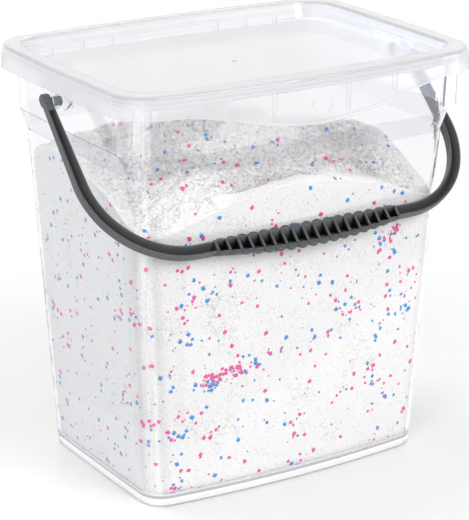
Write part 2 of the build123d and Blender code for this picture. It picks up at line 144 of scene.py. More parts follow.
# How many granules to a square metre, and the share of each colour along the wall and on the heap
GRANULE_DENSITY = 300000.0
COMMON_SHARE = 0.028
HEAP_SHARE = 0.014

# Mounds and hollows of the heap: middle, half length and width, turn in degrees, rise in millimetres,
# painted shade (painted light where it is below zero)
MOUNDS = (
    ((15.0, 15.0), (46.0, 17.0), 12.0, 8.0, -0.65),
    ((-68.0, -58.0), (28.0, 20.0), 15.0, 7.0, -0.50),
    ((62.0, -32.0), (24.0, 15.0), 0.0, -6.0, 0.30),
    ((-14.0, -60.0), (26.0, 8.0), 4.0, -5.0, 0.26),
    ((84.0, -6.0), (14.0, 22.0), 0.0, -6.0, 0.22),
    ((-48.0, 4.0), (20.0, 14.0), 0.0, -5.0, 0.22),
)

# Walls that carry streaks and layers: coordinate along the wall, across it, and how far out the wall starts
WALLS = {"front": (0, 1, -50.0), "left": (1, 0, -80.0)}

# Streaks where granules gather: wall, start and end along it, half width, crowding and share of pink
STREAKS = (
    ("front", (-69.0, 79.0), (-43.0, 86.0), 1.9, 2.4, 0.92),
    ("front", (-66.0, 74.5), (-46.0, 80.5), 1.5, 1.7, 0.08),
    ("front", (-42.0, 83.0), (-20.0, 92.0), 2.0, 1.0, 0.75),
    ("front", (-101.0, 56.0), (-64.0, 63.0), 2.6, 0.35, 0.92),
    ("front", (-94.0, 47.0), (-76.0, 48.0), 2.0, 0.6, 0.0),
    ("front", (-88.0, 9.0), (-80.0, 22.0), 4.0, 0.5, 0.5),
    ("front", (-88.0, 111.0), (-70.0, 113.0), 3.0, 0.4, 0.0),
    ("front", (-90.0, 131.0), (-60.0, 138.0), 5.0, 0.16, 0.6),
    ("front", (-84.0, 124.0), (-74.0, 127.0), 2.6, 0.5, 0.9),
    ("front", (-70.0, 138.0), (-40.0, 146.0), 5.0, 0.14, 0.45),
    ("front", (33.0, 107.0), (48.0, 108.0), 1.9, 1.5, 0.85),
    ("front", (78.0, 98.0), (88.0, 101.0), 2.6, 0.7, 0.05),
    ("front", (61.0, 148.0), (76.0, 157.0), 2.4, 1.5, 0.92),
    ("front", (-30.0, 37.0), (8.0, 43.0), 4.0, 0.10, 0.5),
    ("front", (55.0, 62.0), (75.0, 38.0), 5.0, 0.08, 0.4),
    ("left", (-50.0, 68.0), (-36.0, 64.0), 3.5, 0.35, 0.5),
    ("left", (-58.0, 132.0), (-40.0, 120.0), 5.0, 0.22, 0.8),
    ("left", (12.0, 160.0), (-6.0, 148.0), 3.0, 0.22, 0.9),
)

# Pressed layers seen through the wall: wall, start and end of a line, fade across it in millimetres, shade
LAYERS = (
    ("front", (-115.0, 20.0), (26.0, 92.0), 30.0, 0.13),
    ("front", (-40.0, 150.0), (90.0, 128.0), 34.0, 0.06),
    ("left", (-57.0, 52.0), (53.0, 40.0), 1.6, 0.08),
)

# The tub's walls: half sizes at the foot in millimetres, and how far they lean out with height
WALL_FOOT_X = 104.4
WALL_FOOT_Y = 69.6
WALL_LEAN_X = 0.0606
WALL_LEAN_Y = 0.0462

# Heights of the tub's parts in millimetres: shoulder, floor plate and lower edge of the foot ring
SHOULDER = (216.0, 229.5)
FOOT_PLATE = (4.0, 8.0)
FOOT_EDGE = 0.9

# Clear plastic of the tub: tints, a painted contact shadow on the foot's lower edge, painted glow on the
# narrow sides and floor plate that stands in for its haze, and a painted highlight in the corners, as linear
# colours
CLEAR_IOR = 1.45
TUB_TINT = (0.965, 0.966, 0.971)
SHOULDER_TINT = (0.85, 0.85, 0.87)
EDGE_PAINTED_SHADOW = (0.42, 0.42, 0.44)
NO_PAINTED_GLOW = (0.0, 0.0, 0.0)
SIDE_PAINTED_GLOW = (0.104, 0.118, 0.142)
CORNER_PAINTED_HIGHLIGHT = (0.085, 0.086, 0.089)
FOOT_PAINTED_GLOW = (0.080, 0.080, 0.081)

# Share of the side's painted glow below the shoulder and on the left, and where the side glow, the corner's
# painted highlight and its streaks fade in
SIDE_BELOW = 0.22
SIDE_FADE = (0.2, 0.8)
CORNER_FADE = (0.10, 0.22)
STREAK_FADE = (0.40, 0.62)
STREAK_LEAST = 0.25
STREAK_STRETCH = 0.02

# Light in plastic: share that passes a wall, ray depth past which light counts as trapped, and the colour of
# the painted glow that stands in for trapped light
TUB_LETS_IN = 0.96
LID_LETS_IN = 0.86
DEEPEST = 7.0
TRAPPED_PAINTED_GLOW = (0.66, 0.66, 0.68)

# Milky plastic of the lid, with a faint painted glow
LID_TINT = (0.932, 0.932, 0.946)
LID_PAINTED_GLOW = (0.007, 0.007, 0.0072)

# Grey plastic of the handle, with painted shade in the grip's pockets, weaker past the grip's ends, in
# millimetres
HANDLE_GREY = (0.096, 0.098, 0.103)
HANDLE_PAINTED_SHADE = (0.003, 0.003, 0.004)
HOLLOW_REACH = 8.0
HOLLOW_RANGE = (0.34, 0.72)
GRIP_END = (65.0, 69.0)
BAR_SHARE = 0.85

# Colours of powder and granules, each from light to deep; the powder reaches its deep colour through specks,
# cracks and pressed layers, and through painted shade
POWDER_LIGHT = (0.955, 0.945, 0.94)
POWDER_SHADE = (0.50, 0.485, 0.48)
PINK_LIGHT = (0.86, 0.10, 0.37)
PINK_DEEP = (0.78, 0.04, 0.22)
BLUE_LIGHT = (0.04, 0.33, 0.76)
BLUE_DEEP = (0.02, 0.21, 0.64)

# Grain of the powder and of a granule, and how strongly each stands out
POWDER_GRAIN = {"Grain Size": 0.95, "Clod Size": 5.0, "Crack": 0.9}
POWDER_BUMP = 1.0
GRANULE_GRAIN = {"Grain Size": 0.6, "Clod Size": 3.0, "Crack": 0.0}
GRANULE_BUMP = 0.5

# Grain pattern: noise spans that show as specks and as cracked patches, patch size in clods, crack width
SPECKS = (0.56, 0.74)
SPECK_SHADE = 0.75
PATCHES = (0.55, 0.68)
PATCH_CLODS = 7.0
CRACK_WIDTH = 0.022
# Painted shade in the gaps between loose pebbles, how deep those gaps are, and the rise of the fine grain
PEBBLE_PAINTED_SHADE = 0.65
PEBBLE_DEPTH = 1.6
GRAIN_RISE = -0.25


def spot(azimuth, elevation):
    """Unit direction to a place round the object: azimuth 0 is in front of it."""
    a = math.radians(azimuth)
    e = math.radians(elevation)
    return Vector((math.sin(a) * math.cos(e), -math.cos(a) * math.cos(e), math.sin(e)))


def add_camera():
    """Camera at the photograph's viewing angle."""
    data = bpy.data.cameras.new("camera")
    data.lens = FOCAL_PIXELS * SENSOR / FRAME_LONG_SIDE
    data.sensor_width = SENSOR
    camera = bpy.data.objects.new("camera", data)
    bpy.context.scene.collection.objects.link(camera)
    back = spot(CAMERA_AZIMUTH, CAMERA_ELEVATION)
    camera.location = Vector(CAMERA_TARGET) * MM + back * CAMERA_DISTANCE * MM
    roll = Matrix.Rotation(math.radians(CAMERA_ROLL), 3, "Z")
    turn = (-back).to_track_quat("-Z", "Y").to_matrix() @ roll
    camera.rotation_euler = turn.to_euler()
    bpy.context.scene.camera = camera


def add_lamps(centre):
    """Soft square lamps that all face the object."""
    for name, azimuth, elevation, distance, size, watts in LAMPS:
        data = bpy.data.lights.new(name, "AREA")
        data.size = size
        data.energy = watts
        lamp = bpy.data.objects.new(name, data)
        bpy.context.scene.collection.objects.link(lamp)
        away = spot(azimuth, elevation)
        lamp.location = centre + away * distance
        lamp.rotation_euler = (-away).to_track_quat("-Z", "Y").to_euler()
        lamp.visible_transmission = False
        lamp.visible_glossy = name == SEEN_LAMP


def feed(tree, value, socket):
    """Set a socket to a number, or link it to another socket."""
    if isinstance(value, (int, float)):
        socket.default_value = value
    else:
        tree.links.new(value, socket)


def maths(tree, operation, first, second=0.0):
    """Result of a math node on sockets or numbers."""
    node = tree.nodes.new("ShaderNodeMath")
    node.operation = operation
    feed(tree, first, node.inputs[0])
    feed(tree, second, node.inputs[1])
    return node.outputs[0]


def ramp(tree, value, span, onto=(0.0, 1.0), interpolation="LINEAR"):
    """Value mapped from one span onto another and held at both ends."""
    node = tree.nodes.new("ShaderNodeMapRange")
    node.interpolation_type = interpolation
    feed(tree, value, node.inputs["Value"])
    feed(tree, span[0], node.inputs["From Min"])
    feed(tree, span[1], node.inputs["From Max"])
    feed(tree, onto[0], node.inputs["To Min"])
    feed(tree, onto[1], node.inputs["To Max"])
    return node.outputs["Result"]


def colour_mix(tree, factor, first, second):
    """Colour between two others, linear colours or sockets, by a mask."""
    mix = tree.nodes.new("ShaderNodeMix")
    mix.data_type = "RGBA"
    for label, colour in (("A", first), ("B", second)):
        if isinstance(colour, tuple):
            mix.inputs[label].default_value = (*colour, 1)
        else:
            tree.links.new(colour, mix.inputs[label])
    tree.links.new(factor, mix.inputs["Factor"])
    return mix.outputs["Result"]


def shader_mix(tree, factor, first, second):
    """Shader between two others by a mask."""
    mix = tree.nodes.new("ShaderNodeMixShader")
    tree.links.new(factor, mix.inputs["Fac"])
    tree.links.new(first, mix.inputs[1])
    tree.links.new(second, mix.inputs[2])
    return mix.outputs["Shader"]


def object_coordinates(tree):
    """Coordinates in the object's own frame, in metres."""
    return tree.nodes.new("ShaderNodeTexCoord").outputs["Object"]


def split(tree, vector):
    """The three coordinates of a vector."""
    node = tree.nodes.new("ShaderNodeSeparateXYZ")
    tree.links.new(vector, node.inputs[0])
    return node.outputs["X"], node.outputs["Y"], node.outputs["Z"]


def attribute(tree, name):
    """Float stored on the mesh, as a material reads it."""
    node = tree.nodes.new("ShaderNodeAttribute")
    node.attribute_name = name
    return node.outputs["Fac"]


def noise_at(tree, vector, size, detail=2.0):
    """Noise whose features are as large as a size in millimetres."""
    noise = tree.nodes.new("ShaderNodeTexNoise")
    noise.inputs["Detail"].default_value = detail
    tree.links.new(vector, noise.inputs["Vector"])
    tree.links.new(maths(tree, "DIVIDE", 1 / MM, size), noise.inputs["Scale"])
    return noise.outputs[0]


def cells_at(tree, vector, size):
    """Distance from the middle of cells as large as a size in millimetres."""
    cells = tree.nodes.new("ShaderNodeTexVoronoi")
    tree.links.new(vector, cells.inputs["Vector"])
    tree.links.new(maths(tree, "DIVIDE", 1 / MM, size), cells.inputs["Scale"])
    return cells.outputs["Distance"]


def bump(tree, height, strength, distance):
    """Normal bent by a height, with the bump's distance in millimetres."""
    node = tree.nodes.new("ShaderNodeBump")
    node.inputs["Strength"].default_value = strength
    node.inputs["Distance"].default_value = distance * MM
    tree.links.new(height, node.inputs["Height"])
    return node.outputs["Normal"]


def seen_ray(tree):
    """1 for camera, glossy and transmitted rays, which should meet plain white."""
    path = tree.nodes.new("ShaderNodeLightPath")
    seen = maths(tree, "MAXIMUM", path.outputs["Is Camera Ray"], path.outputs["Is Glossy Ray"])
    return maths(tree, "MAXIMUM", seen, path.outputs["Is Transmission Ray"])


def set_world():
    """Even room light, seen as plain white."""
    world = bpy.data.worlds.new("studio")
    bpy.context.scene.world = world
    world.use_nodes = True
    tree = world.node_tree
    background = tree.nodes["Background"]
    background.inputs["Color"].default_value = (1, 1, 1, 1)
    level = ramp(tree, seen_ray(tree), (0.0, 1.0), (ROOM_LEVEL, WHITE_LEVEL))
    tree.links.new(level, background.inputs["Strength"])


def new_material(name):
    """Material with its tree, its Principled shader and its surface socket."""
    material = bpy.data.materials.new(name)
    material.use_nodes = True
    tree = material.node_tree
    return material, tree, tree.nodes["Principled BSDF"], tree.nodes["Material Output"].inputs["Surface"]


def set_plain(shader, values):
    """Values that are the same all over a surface."""
    for label, value in values.items():
        shader.inputs[label].default_value = value


def new_group(name, inputs, outputs):
    """Shader group with float inputs and outputs, and its two end nodes."""
    group = bpy.data.node_groups.new(name, "ShaderNodeTree")
    group.interface.new_socket("Vector", in_out="INPUT", socket_type="NodeSocketVector")
    for label, value in inputs.items():
        socket = group.interface.new_socket(label, in_out="INPUT", socket_type="NodeSocketFloat")
        socket.default_value = value
    for label in outputs:
        group.interface.new_socket(label, in_out="OUTPUT", socket_type="NodeSocketFloat")
    return group, group.nodes.new("NodeGroupInput"), group.nodes.new("NodeGroupOutput")


def use_group(tree, group, values):
    """Place a shader group on object coordinates with its own values."""
    node = tree.nodes.new("ShaderNodeGroup")
    node.node_tree = group
    tree.links.new(object_coordinates(tree), node.inputs["Vector"])
    for label, value in values.items():
        node.inputs[label].default_value = value
    return node


def moulded_group():
    """Surface of moulded plastic: slow waves in the sheet and a fine haze in its gloss."""
    group, start, end = new_group(
        "moulded_surface",
        {"Wave Size": 40.0, "Haze Size": 6.0, "Smooth": 0.05, "Hazy": 0.12},
        ["Roughness", "Height"])
    haze = noise_at(group, start.outputs["Vector"], start.outputs["Haze Size"], 4.0)
    gloss = (start.outputs["Smooth"], start.outputs["Hazy"])
    group.links.new(ramp(group, haze, (0.0, 1.0), gloss), end.inputs["Roughness"])
    waves = noise_at(group, start.outputs["Vector"], start.outputs["Wave Size"], 1.0)
    group.links.new(waves, end.inputs["Height"])
    return group


def grain_group():
    """Grains of a dry powder: fine specks, small dark cracks between clods, painted shade in the gaps
    between loose pebbles, and how the grains stand.
    """
    group, start, end = new_group(
        "powder_grain",
        {"Grain Size": 0.9, "Pebble Size": 2.0, "Clod Size": 9.0, "Crack": 0.5, "Loose": 0.0},
        ["Shade", "Height"])
    place = start.outputs["Vector"]
    cells = cells_at(group, place, start.outputs["Grain Size"])
    pebbles = cells_at(group, place, start.outputs["Pebble Size"])
    specks = ramp(group, noise_at(group, place, start.outputs["Grain Size"], 3.0), SPECKS)
    patch_size = maths(group, "MULTIPLY", start.outputs["Clod Size"], PATCH_CLODS)
    cracked_part = ramp(group, noise_at(group, place, patch_size, 3.0), PATCHES)
    clods = noise_at(group, place, start.outputs["Clod Size"], 4.0)
    off_ridge = maths(group, "ABSOLUTE", maths(group, "SUBTRACT", clods, 0.5))
    cracks = maths(group, "MULTIPLY", ramp(group, off_ridge, (CRACK_WIDTH, 0.0)), cracked_part)
    cracks = maths(group, "MULTIPLY", cracks, start.outputs["Crack"])
    shade = maths(group, "ADD", maths(group, "MULTIPLY", specks, SPECK_SHADE), cracks)
    between = maths(group, "MULTIPLY", maths(group, "POWER", pebbles, 2.0), start.outputs["Loose"])
    # Painted shade in the gaps between loose pebbles
    shade = maths(group, "ADD", shade, maths(group, "MULTIPLY", between, PEBBLE_PAINTED_SHADE))
    group.links.new(shade, end.inputs["Shade"])
    fine = maths(group, "MULTIPLY", cells, GRAIN_RISE)
    height = maths(group, "SUBTRACT", fine, maths(group, "MULTIPLY", between, PEBBLE_DEPTH))
    group.links.new(height, end.inputs["Height"])
    return group


def past_line(tree, along, height, half, slope, wide):
    """How far past a wall's corner line a place lies, as a share of the corner's width."""
    wall = maths(tree, "ADD", maths(tree, "MULTIPLY", height, slope), half * MM)
    corner = maths(tree, "MULTIPLY", wide, MM)
    inside = maths(tree, "SUBTRACT", wall, corner)
    past = maths(tree, "SUBTRACT", maths(tree, "ABSOLUTE", along), inside)
    return maths(tree, "DIVIDE", past, corner)


def between_heights(tree, height, span):
    """1 between two heights in millimetres."""
    over = maths(tree, "GREATER_THAN", height, span[0] * MM)
    under = maths(tree, "LESS_THAN", height, span[1] * MM)
    return maths(tree, "MULTIPLY", over, under)


def tub_painted_light_group():
    """Masks for the tub: painted glow on the narrow sides, a painted highlight in the corners in upright
    streaks, the shoulder's tint, painted glow on the floor plate, and painted shadow on the lower edge.
    """
    group, start, end = new_group(
        "tub_painted_light",
        {"Corner Wide": 14.0, "Streak Size": 2.2},
        ["Side", "Corner", "Shoulder", "Foot", "Edge"])
    x, y, height = split(group, start.outputs["Vector"])
    wide = start.outputs["Corner Wide"]
    over_x = past_line(group, x, height, WALL_FOOT_X, WALL_LEAN_X, wide)
    over_y = past_line(group, y, height, WALL_FOOT_Y, WALL_LEAN_Y, wide)
    side = ramp(group, over_x, SIDE_FADE)
    upper = maths(group, "GREATER_THAN", height, SHOULDER[1] * MM)
    right_top = maths(group, "MULTIPLY", upper, maths(group, "GREATER_THAN", x, 0.0))
    level = maths(group, "ADD", maths(group, "MULTIPLY", right_top, 1.0 - SIDE_BELOW), SIDE_BELOW)
    group.links.new(maths(group, "MULTIPLY", side, level), end.inputs["Side"])
    corner = ramp(group, maths(group, "MINIMUM", over_x, over_y), CORNER_FADE)
    squeeze = group.nodes.new("ShaderNodeVectorMath")
    squeeze.operation = "MULTIPLY"
    squeeze.inputs[1].default_value = (1.0, 1.0, STREAK_STRETCH)
    group.links.new(start.outputs["Vector"], squeeze.inputs[0])
    streak = noise_at(group, squeeze.outputs["Vector"], start.outputs["Streak Size"], 3.0)
    bright = ramp(group, streak, STREAK_FADE, (STREAK_LEAST, 1.0))
    group.links.new(maths(group, "MULTIPLY", corner, bright), end.inputs["Corner"])
    group.links.new(between_heights(group, height, SHOULDER), end.inputs["Shoulder"])
    group.links.new(between_heights(group, height, FOOT_PLATE), end.inputs["Foot"])
    group.links.new(maths(group, "LESS_THAN", height, FOOT_EDGE * MM), end.inputs["Edge"])
    return group


def let_light_in(tree, shader, surface, share):
    """Shadow rays pass the plastic as light passes a thin wall, and trapped rays meet a painted glow that
    stands in for its mean light.
    """
    path = tree.nodes.new("ShaderNodeLightPath")
    clear = tree.nodes.new("ShaderNodeBsdfTransparent")
    glow = tree.nodes.new("ShaderNodeEmission")
    glow.inputs["Color"].default_value = (*TRAPPED_PAINTED_GLOW, 1)
    passing = maths(tree, "MULTIPLY", path.outputs["Is Shadow Ray"], share)
    thin = shader_mix(tree, passing, shader.outputs["BSDF"], clear.outputs["BSDF"])
    trapped = maths(tree, "GREATER_THAN", path.outputs["Ray Depth"], DEEPEST)
    tree.links.new(shader_mix(tree, trapped, thin, glow.outputs["Emission"]), surface)


def clear_plastic(moulded, veil):
    """Clear polypropylene of the tub, with painted glow for its milkiness on the narrow sides and floor
    plate, a painted highlight in its corners and a painted contact shadow on its lower edge.
    """
    material, tree, shader, surface = new_material("clear_tub")
    sheet = use_group(tree, moulded, {"Wave Size": 55.0, "Haze Size": 9.0, "Smooth": 0.02, "Hazy": 0.07})
    masks = use_group(tree, veil, {"Corner Wide": 14.0, "Streak Size": 2.2}).outputs
    # Painted glow on the sides and floor plate, and a painted highlight in the corners, all as emission
    milky = colour_mix(tree, masks["Side"], NO_PAINTED_GLOW, SIDE_PAINTED_GLOW)
    milky = colour_mix(tree, masks["Corner"], milky, CORNER_PAINTED_HIGHLIGHT)
    milky = colour_mix(tree, masks["Foot"], milky, FOOT_PAINTED_GLOW)
    tree.links.new(milky, shader.inputs["Emission Color"])
    tint = colour_mix(tree, masks["Shoulder"], TUB_TINT, SHOULDER_TINT)
    # Painted contact shadow: a dark tint on the foot's lower edge
    tint = colour_mix(tree, masks["Edge"], tint, EDGE_PAINTED_SHADOW)
    tree.links.new(tint, shader.inputs["Base Color"])
    set_plain(shader, {"Emission Strength": 1.0, "Transmission Weight": 1.0, "IOR": CLEAR_IOR})
    tree.links.new(sheet.outputs["Roughness"], shader.inputs["Roughness"])
    tree.links.new(bump(tree, sheet.outputs["Height"], 0.10, 3.0), shader.inputs["Normal"])
    let_light_in(tree, shader, surface, TUB_LETS_IN)
    return material


def milky_plastic(moulded):
    """Milky, half clear polypropylene of the lid, with a faint painted glow."""
    material, tree, shader, surface = new_material("milky_lid")
    sheet = use_group(tree, moulded, {"Wave Size": 60.0, "Haze Size": 22.0, "Smooth": 0.09, "Hazy": 0.17})
    set_plain(shader, {"Base Color": (*LID_TINT, 1), "Emission Color": (*LID_PAINTED_GLOW, 1)})
    set_plain(shader, {"Emission Strength": 1.0, "Transmission Weight": 0.74, "IOR": CLEAR_IOR})
    tree.links.new(sheet.outputs["Roughness"], shader.inputs["Roughness"])
    tree.links.new(bump(tree, sheet.outputs["Height"], 0.06, 2.0), shader.inputs["Normal"])
    let_light_in(tree, shader, surface, LID_LETS_IN)
    return material


def grey_plastic(moulded):
    """Dark grey satin plastic of the handle, with painted shade that makes it near black deep in the grip's
    pockets.
    """
    material, tree, shader, _ = new_material("grey_handle")
    sheet = use_group(tree, moulded, {"Wave Size": 18.0, "Haze Size": 1.6, "Smooth": 0.34, "Hazy": 0.50})
    # Painted shade: ambient occlusion darkens the base colour in hollows, less past the grip's ends
    hollow = tree.nodes.new("ShaderNodeAmbientOcclusion")
    hollow.inputs["Distance"].default_value = HOLLOW_REACH * MM
    open_part = ramp(tree, hollow.outputs["AO"], HOLLOW_RANGE)
    along = maths(tree, "ABSOLUTE", split(tree, object_coordinates(tree))[0])
    beside = ramp(tree, along, (GRIP_END[0] * MM, GRIP_END[1] * MM), (0.0, BAR_SHARE))
    tone = colour_mix(tree, maths(tree, "MAXIMUM", open_part, beside), HANDLE_PAINTED_SHADE, HANDLE_GREY)
    tree.links.new(tone, shader.inputs["Base Color"])
    set_plain(shader, {"IOR": 1.49})
    tree.links.new(sheet.outputs["Roughness"], shader.inputs["Roughness"])
    tree.links.new(bump(tree, sheet.outputs["Height"], 0.10, 0.6), shader.inputs["Normal"])
    return material


def grainy(name, grain, light, shade, values, strength):
    """Matt granular finish between a light and a shaded colour, mixed by its grain and by the shade stored
    on the mesh, both partly painted shade.
    """
    material, tree, shader, _ = new_material(name)
    grains = use_group(tree, grain, values)
    tree.links.new(attribute(tree, "loose"), grains.inputs["Loose"])
    depth = tree.nodes.new("ShaderNodeMath")
    depth.operation = "ADD"
    depth.use_clamp = True
    tree.links.new(grains.outputs["Shade"], depth.inputs[0])
    tree.links.new(attribute(tree, "shade"), depth.inputs[1])
    tree.links.new(colour_mix(tree, depth.outputs[0], light, shade), shader.inputs["Base Color"])
    set_plain(shader, {"Roughness": 0.95, "Specular IOR Level": 0.2})
    tree.links.new(bump(tree, grains.outputs["Height"], strength, 1.0), shader.inputs["Normal"])
    return material


def node_tree_for(name, sizes):
    """Geometry tree with a geometry input and named sizes in millimetres."""
    tree = bpy.data.node_groups.new(name, "GeometryNodeTree")
    tree.interface.new_socket("Geometry", in_out="INPUT", socket_type="NodeSocketGeometry")
    for label, value in sizes.items():
        socket = tree.interface.new_socket(label, in_out="INPUT", socket_type="NodeSocketFloat")
        socket.default_value = value
    tree.interface.new_socket("Geometry", in_out="OUTPUT", socket_type="NodeSocketGeometry")
    return tree, tree.nodes.new("NodeGroupInput"), tree.nodes.new("NodeGroupOutput")


def named_value(tree, name):
    """Float stored on the mesh, as a geometry tree reads it."""
    node = tree.nodes.new("GeometryNodeInputNamedAttribute")
    node.data_type = "FLOAT"
    node.inputs["Name"].default_value = name
    return node.outputs["Attribute"]


def painted(tree, geometry, material, end):
    """Give a tree's result its material and send it out."""
    paint = tree.nodes.new("GeometryNodeSetMaterial")
    paint.inputs["Material"].default_value = material
    tree.links.new(geometry, paint.inputs["Geometry"])
    tree.links.new(paint.outputs["Geometry"], end.inputs["Geometry"])


def moved(tree, geometry, offset):
    """Geometry with its points moved by an offset."""
    move = tree.nodes.new("GeometryNodeSetPosition")
    tree.links.new(geometry, move.inputs["Geometry"])
    tree.links.new(offset, move.inputs["Offset"])
    return move.outputs["Geometry"]


def heap_tree(material):
    """Raises hills, lumps, crumbs and grains on the loose part of the powder's skin."""
    tree, start, end = node_tree_for("heaped_powder", RELIEF)
    place = tree.nodes.new("GeometryNodeInputPosition").outputs[0]
    total = 0.0
    for kind, detail in RELIEF_DETAIL:
        noise = noise_at(tree, place, start.outputs[f"{kind} Size"], detail)
        centred = maths(tree, "SUBTRACT", noise, 0.5)
        relief = maths(tree, "MULTIPLY", centred, start.outputs[f"{kind} Height"])
        total = maths(tree, "ADD", relief, total)
    rise = maths(tree, "MULTIPLY", maths(tree, "MULTIPLY", total, MM), named_value(tree, "loose"))
    upwards = tree.nodes.new("ShaderNodeCombineXYZ")
    tree.links.new(rise, upwards.inputs["Z"])
    painted(tree, moved(tree, start.outputs["Geometry"], upwards.outputs[0]), material, end)
    return tree


def rough_lump(tree):
    """Ball of unit radius, dented at random."""
    ball = tree.nodes.new("GeometryNodeMeshIcoSphere")
    ball.inputs["Radius"].default_value = 1.0
    ball.inputs["Subdivisions"].default_value = 2
    dent = tree.nodes.new("ShaderNodeTexNoise")
    dent.inputs["Scale"].default_value = DENT_SCALE
    push = tree.nodes.new("ShaderNodeVectorMath")
    push.operation = "SCALE"
    tree.links.new(tree.nodes.new("GeometryNodeInputNormal").outputs[0], push.inputs[0])
    depth = maths(tree, "MULTIPLY", maths(tree, "SUBTRACT", dent.outputs[0], 0.5), DENT_DEPTH)
    tree.links.new(depth, push.inputs["Scale"])
    return moved(tree, ball.outputs["Mesh"], push.outputs["Vector"])


def granule_size(tree, start, seed):
    """Random size of each granule, flat where it lies against the wall."""
    size = tree.nodes.new("FunctionNodeRandomValue")
    size.inputs["Seed"].default_value = seed
    tree.links.new(start.outputs["Small"], size.inputs[2])
    tree.links.new(start.outputs["Large"], size.inputs[3])
    wide = size.outputs[1]
    thick = tree.nodes.new("ShaderNodeMix")
    tree.links.new(named_value(tree, "loose"), thick.inputs["Factor"])
    tree.links.new(start.outputs["Flat"], thick.inputs["A"])
    tree.links.new(maths(tree, "MULTIPLY", wide, GRANULE_THICK), thick.inputs["B"])
    deep = maths(tree, "MULTIPLY", wide, GRANULE_DEPTH)
    shape = tree.nodes.new("ShaderNodeCombineXYZ")
    for axis, value in (("X", wide), ("Y", deep), ("Z", thick.outputs[0])):
        tree.links.new(maths(tree, "MULTIPLY", value, MM), shape.inputs[axis])
    return shape.outputs[0]


def granule_turn(tree, facing, seed):
    """Rotation that faces the skin and is spun at random about it."""
    spin = tree.nodes.new("FunctionNodeRandomValue")
    spin.inputs["Seed"].default_value = seed
    spin.inputs[3].default_value = FULL_TURN
    about = tree.nodes.new("ShaderNodeCombineXYZ")
    tree.links.new(spin.outputs[1], about.inputs["Z"])
    as_turn = tree.nodes.new("FunctionNodeEulerToRotation")
    tree.links.new(about.outputs[0], as_turn.inputs["Euler"])
    rotate = tree.nodes.new("FunctionNodeRotateRotation")
    rotate.rotation_space = "LOCAL"
    tree.links.new(facing, rotate.inputs["Rotation"])
    tree.links.new(as_turn.outputs[0], rotate.inputs["Rotate By"])
    return rotate.outputs["Rotation"]


def granule_tree(name, material, density, seed):
    """Scatters small rough lumps over the powder's skin."""
    tree, start, end = node_tree_for(name, GRANULE)
    scatter = tree.nodes.new("GeometryNodeDistributePointsOnFaces")
    scatter.distribute_method = "POISSON"
    scatter.inputs["Density Max"].default_value = GRANULE_DENSITY
    scatter.inputs["Seed"].default_value = seed
    tree.links.new(start.outputs["Geometry"], scatter.inputs["Mesh"])
    tree.links.new(maths(tree, "MULTIPLY", start.outputs["Spacing"], MM), scatter.inputs["Distance Min"])
    tree.links.new(named_value(tree, density), scatter.inputs["Density Factor"])
    copies = tree.nodes.new("GeometryNodeInstanceOnPoints")
    tree.links.new(scatter.outputs["Points"], copies.inputs["Points"])
    tree.links.new(rough_lump(tree), copies.inputs["Instance"])
    tree.links.new(granule_turn(tree, scatter.outputs["Rotation"], seed + 2), copies.inputs["Rotation"])
    tree.links.new(granule_size(tree, start, seed + 1), copies.inputs["Scale"])
    real = tree.nodes.new("GeometryNodeRealizeInstances")
    tree.links.new(copies.outputs["Instances"], real.inputs["Geometry"])
    painted(tree, real.outputs["Geometry"], material, end)
    return tree


def settled(name, mesh, tree, sizes):
    """Object whose mesh is what a geometry tree makes of a mesh with the given sizes."""
    carrier = bpy.data.objects.new(f"{name}_maker", mesh)
    bpy.context.scene.collection.objects.link(carrier)
    maker = carrier.modifiers.new("maker", "NODES")
    maker.node_group = tree
    for socket in tree.interface.items_tree:
        if socket.name in sizes:
            maker[socket.identifier] = sizes[socket.name]
    view = bpy.context.evaluated_depsgraph_get()
    made = bpy.data.meshes.new_from_object(carrier.evaluated_get(view), depsgraph=view)
    bpy.data.objects.remove(carrier)
    made.name = name
    made.shade_smooth()
    piece = bpy.data.objects.new(name, made)
    bpy.context.scene.collection.objects.link(piece)
    return piece


def solid_lookup(node):
    """Ray lookup into a CAD node's solid."""
    mesh = node.data
    points = [v.co.copy() for v in mesh.vertices]
    return BVHTree.FromPolygons(points, [tuple(p.vertices) for p in mesh.polygons])


def wall_reach(solid, way, height):
    """Distance from the middle line to the powder's side in a direction at a height."""
    middle = Vector((0, 0, height))
    hit = solid.ray_cast(middle, way)
    return (hit[0] - middle).length


def top_height(solid, x, y, above):
    """Height of the powder's surface over a place."""
    hit = solid.ray_cast(Vector((x, y, above)), Vector((0, 0, -1)))
    return hit[0].z


def on_face(points, wall):
    """Place along a wall and height in millimetres, and whether each point lies on that wall."""
    along, across, limit = WALLS[wall]
    return points[:, [along, 2]] / MM, points[:, across] < limit * MM


def streak_density(points, on_wall):
    """Shares of pink and blue granules at each point of the skin."""
    pink = np.where(on_wall, COMMON_SHARE, HEAP_SHARE)
    blue = np.where(on_wall, COMMON_SHARE, HEAP_SHARE)
    for wall, start, end, width, crowd, share in STREAKS:
        flat, facing = on_face(points, wall)
        run = np.subtract(end, start)
        part = np.clip((flat - start) @ run / (run @ run), 0, 1)
        gap = np.linalg.norm(flat - (np.array(start) + part[:, None] * run), axis=1)
        near = crowd * np.exp(-((gap / width) ** 2)) * facing * on_wall
        pink = pink + near * share
        blue = blue + near * (1 - share)
    return pink, blue


def mound(x, y):
    """Rise in millimetres, and painted shade, or painted light where it is below zero, that the mounds and
    hollows give a place on the heap.
    """
    rise = 0.0
    shade = 0.0
    for middle, half, turn, height, depth in MOUNDS:
        dx = x - middle[0]
        dy = y - middle[1]
        cosine = math.cos(math.radians(turn))
        sine = math.sin(math.radians(turn))
        along = (dx * cosine + dy * sine) / half[0]
        across = (dy * cosine - dx * sine) / half[1]
        near = np.exp(-((along * along + across * across) ** 2))
        rise = rise + height * near
        shade = shade + depth * near
    return rise, shade


